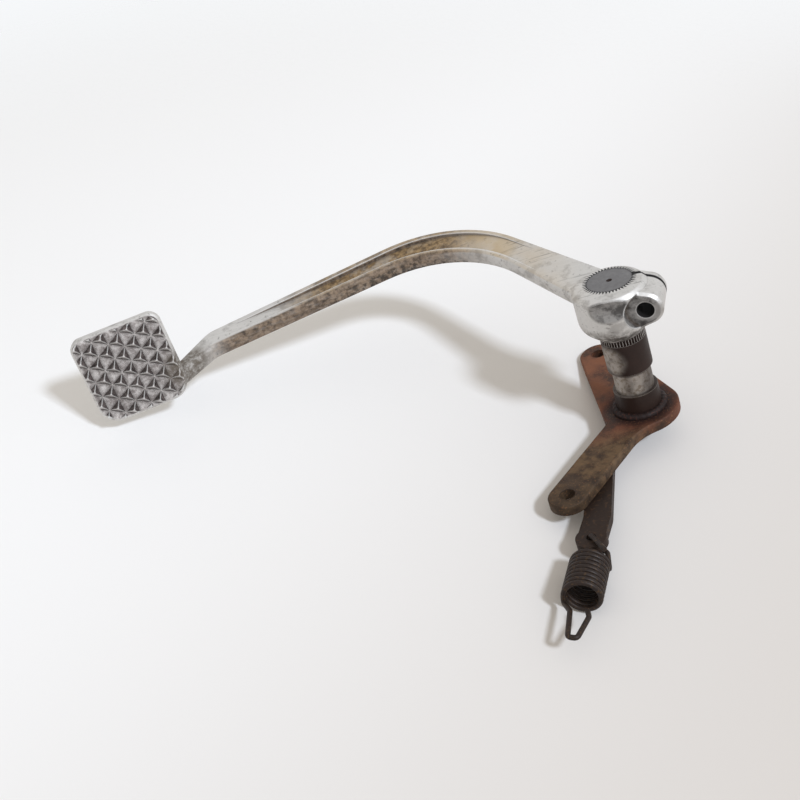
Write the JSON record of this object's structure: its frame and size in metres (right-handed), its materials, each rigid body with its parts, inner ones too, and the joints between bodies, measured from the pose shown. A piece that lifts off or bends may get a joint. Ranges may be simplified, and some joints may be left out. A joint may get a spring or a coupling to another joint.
{
  "type": "rear brake pedal",
  "caption": "Motorbike rear brake pedal: forged lever with a studded foot pad, clamped on a serrated pivot shaft that carries a bellcrank plate and a return spring.",
  "frame": {"origin": "on the pivot shaft's axis, halfway along its journal", "axes": "+Z along the shaft to its outer, serrated end; the foot pad lies towards -X and the plate's ear towards +Y"},
  "size_m": [0.2382, 0.1848, 0.1048],
  "materials": {
    "lever": "forged, satin, stained",
    "shaft": "turned, worn and rusty",
    "weld": "weld metal, rusted",
    "plate": "plate, rusted",
    "strip": "strip, dark rust",
    "spring": "spring wire, dark rust"
  },
  "bodies": {
    "pedal": {"pedal_lever": "lever", "pivot_shaft": "shaft", "weld_bead": "weld", "brake_arm": "plate", "spring_arm": "strip"},
    "spring": {"return_spring": "spring"}
  },
  "joints": [
    {"name": "spring_swing", "type": "hinge", "parent": "pedal", "child": "spring", "pos_m": [-0.0312, -0.068, -0.02425], "axis": [0, 0, 1], "range_deg": [-60, 60]}
  ]
}
